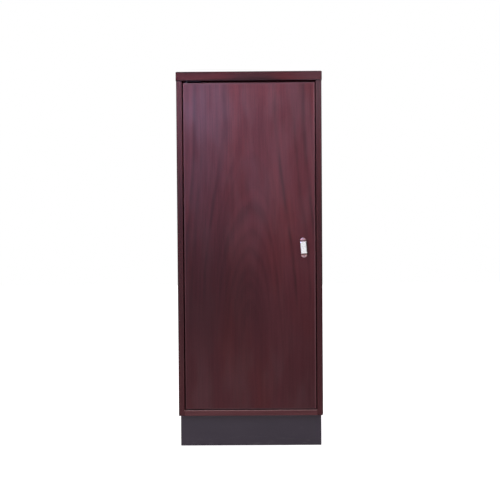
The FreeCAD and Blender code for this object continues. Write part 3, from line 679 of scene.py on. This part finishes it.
# Plinth: four boards on edge under the carcass, set back at the front, in a dark grey
# satin lacquer that is scuffed along the floor. Beech blocks in its corners take the
# screws up into the bottom board.
def make_scuffs():
    """Dust and shoe marks that thin out with height above the floor."""
    tree, given, result = make_group("floor scuffs", "ShaderNodeTree", {
        "Vector": "Vector", "Height Reached": 0.05, "Amount": 0.22}, {"Mask": "Float"})
    place = given["Vector"]
    low = spread(split(place)[2], 0.0, given["Height Reached"], 1.0, 0.12)
    mark = spread(noise(place, (24.0, 24.0, 110.0), 4.0, 0.65), 0.52, 0.72)
    speck = spread(noise(place, (420.0, 420.0, 420.0)), 0.6, 0.75)
    both = mark.calc("MAXIMUM", speck * 0.6)
    feed(result, {"Mask": both * low * given["Amount"]})
    return tree


scuffs = make_scuffs()
for node in ("plinth_front", "plinth_back", "plinth_left", "plinth_right"):
    lacquer, shader, place = new_material(node.replace("_", " ") + " lacquer")
    low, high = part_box(node)
    colour = blend(noise(place, (7.0, 7.0, 16.0), 3.0), painted(62, 53, 64),
                   painted(53, 45, 55))
    scuff = use(scuffs, {"Vector": place})[0]
    colour = blend(scuff, colour, painted(112, 106, 108))
    arris_band = use(arris_mask, {"Vector": place, "Low Corner": low, "High Corner": high,
                            "Reach": 0.0015, "Raggedness": 1.6})[0]
    feed(shader, {"Base Color": blend(arris_band * 0.25, colour, painted(96, 86, 90)),
                  "Roughness": scuff * 0.3 + 0.46, "Specular IOR Level": 0.3,
                  "Normal": bump(noise(place, (420.0, 420.0, 420.0)), 0.00006, 0.5)})
    dress(node, lacquer)
dress("plinth_corner_blocks", raw_wood("beech block", grain_up_seen_from_front, *beech, 0.4))
drive_screws("plinth_screws", "root", (0, 0, 1), 23, (0.008, 0.0023, 0.004), 0.0016)


# Shelves: three veneered boards with a solid strip on the front edge, loose on brass pins
# that push into rows of holes up the sides.
brass = metal("dull brass", painted(214, 182, 122), painted(120, 92, 56), 0.6, 0.3, 0.5)
for number, name in enumerate(("lower_shelf", "middle_shelf", "upper_shelf")):
    words = name.replace("_", " ")
    mahogany(name, words + " veneer", grain_across_level,
             (0.06 - 0.05 * number, -0.5 * number, 0.3), *side_stain, edge_shade, 0.3,
             heart=(0.05, 0.14), run=(0.0, 0.8), rings=0.5)
    mahogany(name + "_lipping", words + " strip", grain_across_upright,
             (-0.4 * number, 0.4, 0.2 * number), *strip_stain, edge_shade, 0.4, 0.0014,
             **straight_grain, unmarked=("+y",))
dress("shelf_pins", brass)


# Door: one flat board, veneered with a flat-sawn leaf whose flames point up its middle and
# whose darkest rings lie where the photo has them, with straight-grained strips round its
# four edges. It turns on its pivots.
def make_dark_rings(rings):
    """The few growth rings that show darkest, each by its radius in the log and its depth."""
    tree, given, result = make_group("dark rings", "ShaderNodeTree", {
        "Vector": "Vector", "Ring Radius": 0.1, "Breadth": 0.0055, "Fade Start": 0.35,
        "Fade End": 0.62}, {"Mask": "Float"})
    place = given["Vector"]
    patchy = spread(noise(place, (30.0, 30.0, 8.0), 3.0), 0.35, 0.65, 0.45, 1.0)
    fade = spread(split(place)[2], given["Fade Start"], given["Fade End"], 0.1, 1.0)
    twice_as_broad_at = 0.4
    mask = 0.0
    for radius, depth in rings:
        off = (given["Ring Radius"] - radius).calc("ABSOLUTE")
        share = off / (given["Breadth"] * (1 + radius / twice_as_broad_at))
        mask = spread(share, 0.0, 1.0, depth, 0.0).calc("MAXIMUM", mask)
    feed(result, {"Mask": mask * patchy * fade})
    return tree


dark_rings = make_dark_rings((
    (0.041, 0.5), (0.056, 0.45), (0.067, 0.55), (0.081, 0.5), (0.094, 0.35), (0.110, 0.55),
    (0.125, 0.3), (0.165, 1.0), (0.210, 0.9), (0.234, 1.0)))
# dark colour of the rings, also laid on the veneer as a cloud of painted shade
ring_and_shade_colour = painted(40, 10, 14)
mahogany("door_panel", "door veneer", grain_up_seen_from_front, (0.0, 0.2, 29.0),
         painted(77, 28, 35), painted(48, 11, 16), edge_shade, 0.0, ring_width=0.014,
         heart=(0.0, 0.137), run=(29.15, 30.15), wander=0.028, rings=0.16, bands=0.18,
         warm=painted(82, 27, 31), gloss=1.0, calm_foot=0.45, clouds=(
             # darker cloud low on the left of the veneer: painted shade
             ((-0.13, 0.0, 0.53), (1.0, 0.0, 0.9), 0.05, 0.24, 0.3, ring_and_shade_colour),
             # paler cloud round and above the grip: painted light
             ((0.22, 0.0, 0.82), (1.0, 0.0, 0.8), 0.05, 0.35, 0.15, painted(115, 50, 58)),
         ), dulled=(((0.0, 0.0, 0.5), along_z, 0.08, 0.35, 0.75),
                    ((-0.22, 0.0, 0.9), (1.0, 0.0, 1.0), 0.02, 0.25, 0.4)),
         overlay=(dark_rings, 0.65, ring_and_shade_colour))
edge_stain = painted(82, 40, 46), painted(60, 27, 32)
# the latch-side strip is stained paler than the other three
paler_latch_stain = painted(96, 52, 58), painted(70, 34, 39)
for side, turn, place_in_log, stain, strength, joints in (
    ("hinge", grain_up_seen_from_front, (0.5, 0.3, 0.1), edge_stain, 0.35, ("+x",)),
    ("latch", grain_up_seen_from_front, (-0.6, 0.3, 0.7), paler_latch_stain, 0.35, ("-x",)),
    ("top", grain_across_upright, (-1.3, 0.3, 0.2), edge_stain, 0.85, ("-z", "-x", "+x")),
    ("bottom", grain_across_upright, (0.1, 0.3, -0.4), edge_stain, 0.85, ("+z", "-x", "+x")),
):
    mahogany("door_" + side + "_lipping", "door " + side + " strip", turn, place_in_log,
             *stain, edge_shade, strength, gloss=0.8, unmarked=joints,
             **dict(straight_grain, wander=0.01))


# Pivot hinges: a blackened steel plate let into the carcass and a leaf let into the door,
# at the top and at the bottom, with a pin and a black nylon washer between them.
for node in ("top_pivot_plate", "bottom_pivot_plate", "top_door_leaf", "bottom_door_leaf",
             "top_pivot_pin", "bottom_pivot_pin"):
    dress(node, blackened)
nylon, shader, place = new_material("pivot nylon")
grime = spread(noise(place, (300.0, 300.0, 300.0), 3.0), 0.4, 0.7)
feed(shader, {"Base Color": blend(grime, painted(24, 24, 26), painted(40, 38, 38)),
              "Roughness": grime * 0.2 + 0.4, "Normal": bump(grime, 0.00003, 0.4)})
for node in ("top_pivot_washer", "bottom_pivot_washer"):
    dress(node, nylon)
for node, body, up, seed in (
    ("top_pivot_screws", "root", 1, 31), ("bottom_pivot_screws", "root", -1, 32),
    ("door_top_leaf_screws", "door", -1, 33), ("door_bottom_leaf_screws", "door", 1, 34),
):
    drive_screws(node, body, (0, 0, up), seed, finish="blackened_steel")


# Door stop: a strip of solid mahogany screwed under the top board behind the door, with
# two soft felt pads that the door comes to rest against.
mahogany("door_stop_strip", "door stop strip", grain_across_upright, (-0.8, 0.3, 0.5),
         *strip_stain, edge_shade, 0.5, 0.0012, **straight_grain)
drive_screws("door_stop_screws", "root", (0, 0, 1), 41)

felt, shader, place = new_material("stop felt")
wool = noise(place, (1500.0, 1500.0, 1500.0), 5.0, 0.75)
feed(shader, {
    "Base Color": blend(spread(wool, 0.3, 0.7), painted(40, 36, 38), painted(74, 68, 70)),
    "Roughness": wool * 0.1 + 0.85, "Sheen Weight": 0.5, "Sheen Roughness": 0.6,
    "Normal": bump(wool, 0.0003, 0.8)})
pad_sides = 40
pad_shape = bmesh.new()
for low, high in solids_of("door_stop_pads"):
    radius = (high.x - low.x) / 2
    middle = (low + high) / 2
    profile = [(0.0, low.y), (0.72, low.y), (0.9, low.y + 0.0002), (0.985, low.y + 0.0006),
               (1.0, low.y + 0.0011), (0.98, high.y - 0.0003), (0.95, high.y), (0.0, high.y)]
    rows = []
    for share, y in profile:
        angles = [2 * math.pi * i / pad_sides for i in range(pad_sides if share else 1)]
        rows.append([pad_shape.verts.new((middle.x + radius * share * math.cos(angle), y,
                                          middle.z + radius * share * math.sin(angle)))
                     for angle in angles])
    for near, far in zip(rows, rows[1:]):
        for i in range(pad_sides):
            corners = [near[i % len(near)], near[(i + 1) % len(near)],
                       far[(i + 1) % len(far)], far[i % len(far)]]
            pad_shape.faces.new(list(dict.fromkeys(corners)))
bmesh.ops.recalc_face_normals(pad_shape, faces=pad_shape.faces)
pad_mesh = bpy.data.meshes.new("stop_pads")
pad_shape.to_mesh(pad_mesh)
pad_shape.free()
pad_mesh.shade_smooth()
pad_mesh.materials.append(felt)
stop_pads = put("stop_pads", pad_mesh)
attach(stop_pads, "root")
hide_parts("door_stop_pads")


# Turn latch: a chromed steel strap bent to a bow and riveted to its base plate, on a
# spindle through a brass bush in the door, with a flat tongue behind it. Turning the grip
# a quarter turn swings the tongue behind the keeper on the right side board.
grip_length = 0.069
grip_width = 0.0205
grip_strap = 0.0025
grip_foot = 0.008
grip_slope_run = 0.0065
grip_rise = 0.018
grip_point = 0.009
grip_point_bulge = 0.0018
grip_round = 0.0065
grip_lean = math.radians(4)
grip_crown = 0.0004
grip_bend = 0.0028
bend_steps = 8
row_gap = 0.0008
least_gap = 0.0002
taper_steps = 14
taper_reach = grip_foot * 0.8
rim_steps = 60
latch_turn = next(joint for joint in frame["joints"] if joint["name"] == "latch_turn")
latch_axis = Vector(latch_turn["pos_m"])
base_low, base_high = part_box("latch_base")
rest_turn = (Matrix.Translation(latch_axis) @ Matrix.Rotation(-grip_lean, 4, "Y")
             @ Matrix.Translation(-latch_axis))


def half_width(z):
    """Half the grip's width at a height from its middle: pointed above, round below."""
    half = grip_width / 2
    shoulder = grip_length / 2 - grip_point
    if z > shoulder:
        share = min((z - shoulder) / grip_point, 1)
        return half * (1 - share) + 4 * grip_point_bulge * share * (1 - share)
    radius = (half ** 2 + grip_round ** 2) / (2 * grip_round)
    centre = -grip_length / 2 + radius
    if z < -grip_length / 2 + grip_round:
        return math.sqrt(max(radius ** 2 - (z - centre) ** 2, 0))
    return half


def rounded_path(corners, radius, steps):
    """A flat path with each inner corner turned into an arc."""
    path = [corners[0]]
    for before, corner, after in zip(corners, corners[1:], corners[2:]):
        to_before = (before - corner).normalized()
        to_after = (after - corner).normalized()
        half_angle = to_before.angle(to_after) / 2
        run = radius / math.tan(half_angle)
        centre = corner + (to_before + to_after).normalized() * radius / math.sin(half_angle)
        start = corner + to_before * run - centre
        finish = corner + to_after * run - centre
        for i in range(steps + 1):
            share = i / steps
            point = (start * (1 - share) + finish * share).normalized() * radius
            path.append(centre + point)
    path.append(corners[-1])
    return path


def evened(path, spacing):
    """The same path with extra points on its long straight runs."""
    result = [path[0]]
    for point in path[1:]:
        last = result[-1]
        count = max(1, math.ceil((point - last).length / spacing))
        result += [last.lerp(point, i / count) for i in range(1, count + 1)]
    return result


def finished_shell(name, shape, thickness, edge_radius, material, body, replaced):
    """Gives a bent or flat sheet its thickness and eased edges, and leaves a plain mesh."""
    mesh = bpy.data.meshes.new(name)
    shape.to_mesh(mesh)
    shape.free()
    mesh.materials.append(material)
    piece = put(name, mesh)
    wall = piece.modifiers.new("wall", "SOLIDIFY")
    wall.thickness = thickness
    wall.offset = -1
    wall.use_even_offset = True
    ease = piece.modifiers.new("ease", "BEVEL")
    ease.width = edge_radius
    ease.segments = 4
    ease.limit_method = "ANGLE"
    ease.angle_limit = math.radians(50)
    graph = bpy.context.evaluated_depsgraph_get()
    solid = bpy.data.meshes.new_from_object(piece.evaluated_get(graph), depsgraph=graph)
    piece.modifiers.clear()
    piece.data = solid
    solid.transform(rest_turn)
    solid.shade_smooth()
    solid.set_sharp_from_angle(angle=math.radians(40))
    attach(piece, body)
    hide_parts(replaced)


# The chrome is bright on the bow's raised face and rougher down by the plate, where its pinkish
# colour is a painted reflection of the mahogany door.
chrome, shader, place = new_material("worn chrome")
colour, rough, height = use(metal_wear, {
    "Vector": place, "Clean": painted(238, 238, 241), "Tarnish": painted(190, 188, 186),
    "Tarnish Amount": 0.35, "Smoothness": 0.14, "Scratches": 0.35})
dull_and_door_reflection = spread(split(place)[1], base_low.y - grip_rise * 0.85,
                    base_low.y - grip_strap * 1.5)
feed(shader, {"Base Color": blend(dull_and_door_reflection, colour, painted(186, 150, 146)),
              "Roughness": dull_and_door_reflection * 0.32 + rough, "Metallic": 1.0,
              "Normal": bump(height, 0.00001, 0.5)})
rivet_steel = metal("worn rivets", painted(150, 146, 150), painted(96, 90, 94), 0.7, 0.32, 0.4)
end = grip_length / 2
foot = end - grip_foot
front = foot - grip_slope_run
outer = [Vector(point) for point in (
    (end, grip_strap), (foot, grip_strap), (front, grip_rise),
    (-front, grip_rise), (-foot, grip_strap), (-end, grip_strap))]
stations = evened(rounded_path(outer, grip_bend, bend_steps), row_gap)
taper = [Vector((end - taper_reach * (i / taper_steps) ** 2, grip_strap))
         for i in range(taper_steps + 1)]
stations = [point for point in stations if abs(point.x) < taper[-1].x - least_gap]
stations = taper + stations + [Vector((-point.x, point.y)) for point in reversed(taper)]
bow = bmesh.new()
across = 12
rows = []
for height, rise in stations:
    half = half_width(height)
    shares = [2 * i / across - 1 for i in range(across + 1)]
    rows.append([bow.verts.new((
        latch_axis.x + half * share, base_low.y - rise + grip_crown * share ** 4,
        latch_axis.z + height)) for share in shares])
for near, far in zip(rows, rows[1:]):
    for i in range(across):
        bow.faces.new((near[i], far[i], far[i + 1], near[i + 1]))
bmesh.ops.remove_doubles(bow, verts=bow.verts, dist=1e-6)
bmesh.ops.recalc_face_normals(bow, faces=bow.faces)
bow_middle = Vector((latch_axis.x, base_low.y - grip_rise, latch_axis.z))
middle_face = min(bow.faces, key=lambda face: (face.calc_center_median() - bow_middle).length)
if middle_face.normal.y > 0:
    bmesh.ops.reverse_faces(bow, faces=bow.faces)
finished_shell("bow_grip", bow, grip_strap, 0.0005, chrome, "latch", "latch_grip")

plate = bmesh.new()
rim = [end * math.cos(math.pi * i / rim_steps) for i in range(rim_steps + 1)]
outline = [(half_width(z), z) for z in rim] + [(-half_width(z), z) for z in rim[-2:0:-1]]
plate.faces.new([plate.verts.new((latch_axis.x + x, base_low.y, latch_axis.z + z))
                 for x, z in outline])
bmesh.ops.recalc_face_normals(plate, faces=plate.faces)
for face in plate.faces:
    if face.normal.y > 0:
        face.normal_flip()
finished_shell("grip_base_plate", plate, base_high.y - base_low.y, 0.0007, chrome, "latch",
               "latch_base")


def make_domed_rivet():
    tree, given, result = make_group("domed rivets", "GeometryNodeTree", {
        "Places": "Geometry", "Head Diameter": 0.0048, "Head Height": 0.0013,
        "Shank Diameter": 0.003, "Shank Length": 0.005, "Points Along": (0.0, -1.0, 0.0),
        "Seed": 7, "Metal": "Material",
    }, {"Rivets": "Geometry"})
    radius = given["Head Diameter"] * 0.5
    ball = wire_in(tree, "GeometryNodeMeshUVSphere",
                   {"Segments": 40, "Rings": 20, "Radius": radius})
    x, y, z = split(wire_in(tree, "GeometryNodeInputPosition"))
    risen = z.calc("MAXIMUM", 0.0) * (given["Head Height"] / radius)
    domed = wire_in(tree, "ShaderNodeCombineXYZ", {"X": x, "Y": y, "Z": risen})
    head = wire_in(tree, "GeometryNodeSetPosition", {"Geometry": ball, "Position": domed})
    length = given["Shank Length"]
    shank = wire_in(tree, "GeometryNodeMeshCylinder", {
        "Vertices": 32, "Radius": given["Shank Diameter"] * 0.5, "Depth": length})
    down = wire_in(tree, "ShaderNodeCombineXYZ", {"Z": length * -0.5})
    shank = wire_in(tree, "GeometryNodeTransform", {"Geometry": shank, "Translation": down})
    finish_instances(given, result, joined(head, shank), given["Metal"])
    return tree


rivet_seats = []
for low, high in solids_of("grip_rivets"):
    middle = (low + high) / 2
    rivet_seats.append((middle.x, base_low.y - grip_strap, middle.z))
rivets = grow("domed_rivets", make_domed_rivet(), rivet_seats,
              {"Shank Length": grip_strap + base_high.y - base_low.y, "Metal": rivet_steel})
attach(rivets, "latch")
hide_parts("grip_rivets")
steel = metal("turned steel", painted(178, 178, 180), painted(108, 104, 100), 0.5, 0.25, 0.6)
for node in ("latch_bush", "latch_rosette"):
    dress(node, brass)
for node in ("latch_spindle", "latch_tongue", "latch_washer", "latch_nut"):
    dress(node, steel)
drive_screws("rosette_screws", "door", (0, -1, 0), 51)


# Keeper: a bent plate of blackened steel, screwed to the inside of the right side board,
# that the tongue turns in behind.
dress("latch_keeper", blackened)
drive_screws("keeper_screws", "root", (1, 0, 0), 61, finish="blackened_steel")


# Floor and light: a white floor that keeps the cabinet's soft shadow, a white surround, a
# lamp high on the left and a weak one near the floor. Two lamps above the camera only show
# as a sheen on the lacquer, and the grip mirrors a white card beside the camera.
def cleared(tree):
    """Empties a tree, and gives its marks of a mirrored ray and of one straight from the
    camera."""
    tree.nodes.clear()
    ray = node_in(tree, "ShaderNodeLightPath").outputs
    straight = Wire(ray["Is Camera Ray"]).calc("MAXIMUM", Wire(ray["Is Transmission Ray"]))
    return Wire(ray["Is Glossy Ray"]), straight


floor_mesh = bpy.data.meshes.new("floor")
reach = 9.0
floor_mesh.from_pydata([(-reach, -reach, 0), (reach, -reach, 0), (reach, reach, 0),
                        (-reach, reach, 0)], [], [(0, 1, 2, 3)])
floor = put("floor", floor_mesh)
floor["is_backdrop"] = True
floor_paint = bpy.data.materials.new("white floor")
floor_paint.use_nodes = True
tree = floor_paint.node_tree
mirror_share = 0.4
own_glow = 0.8
glossy, straight = cleared(tree)
seen = straight.calc("MAXIMUM", glossy * mirror_share)
paint = wire_in(tree, "ShaderNodeBsdfDiffuse", {"Color": (0.75, 0.72, 0.74, 1.0)})
glow = wire_in(tree, "ShaderNodeEmission", {"Strength": seen * own_glow})
both = wire_in(tree, "ShaderNodeAddShader", {0: paint, 1: glow})
node_in(tree, "ShaderNodeOutputMaterial", {"Surface": both})
floor_mesh.materials.append(floor_paint)

world = bpy.data.worlds.new("white surround")
world.use_nodes = True
bpy.context.scene.world = world
tree = world.node_tree
glossy, straight = cleared(tree)
y, z = split(wire_in(tree, "ShaderNodeTexCoord", output="Generated"))[1:]
mirrored = spread(y, -0.6, 0.5, 0.12, 1.0).calc("MAXIMUM", spread(z, 0.35, 0.8))
plain_light = 0.8
strength = (glossy * (mirrored - plain_light) + plain_light).calc("MAXIMUM", straight)
surround = wire_in(tree, "ShaderNodeBackground",
                   {"Color": (1.0, 1.0, 1.0, 1.0), "Strength": strength})
node_in(tree, "ShaderNodeOutputWorld", {"Surface": surround})


def hang_lamp(name, place, target, watts, colour, hidden_from, **settings):
    """An area lamp aimed at a target and left out of one kind of light."""
    data = bpy.data.lights.new(name, "AREA")
    data.energy = watts
    data.color = colour
    for label, value in settings.items():
        setattr(data, label, value)
    lamp = put(name, data)
    lamp.location = place
    aim = Vector(target) - Vector(place)
    lamp.rotation_euler = aim.to_track_quat("-Z", "Y").to_euler()
    setattr(lamp, "visible_" + hidden_from, False)


hang_lamp("high left lamp", (-1.0, -3.0, 2.3), (-0.1, -0.2, 1.78), 14.5, (1.0, 0.96, 0.98),
          "glossy", shape="RECTANGLE", size=1.3, size_y=0.9, spread=math.radians(41))
for name, x, watts, colour in (("violet sheen", -1.0, 80, (0.5, 0.5, 1.0)),
                               ("white sheen", 0.4, 12, (1.0, 0.86, 0.92))):
    hang_lamp(name, (x, -3.2, 1.95), (x / 3, -0.2, 1.15), watts, colour, "diffuse",
              shape="RECTANGLE", size=1.4, size_y=1.0)
hang_lamp("low lamp", (-0.5, -2.4, 0.3), (-0.07, -0.2, 0.05), 0.85, (1.0, 0.96, 0.97),
          "glossy", size=0.8, spread=math.radians(40))
hang_lamp("camera card", (0.15, -3.3, 0.62), (0.185, -0.2, 0.69), 2.7, (1.0, 1.0, 1.0),
          "diffuse", shape="RECTANGLE", size=1.5, size_y=0.7)


low, high = (list(corner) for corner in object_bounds())
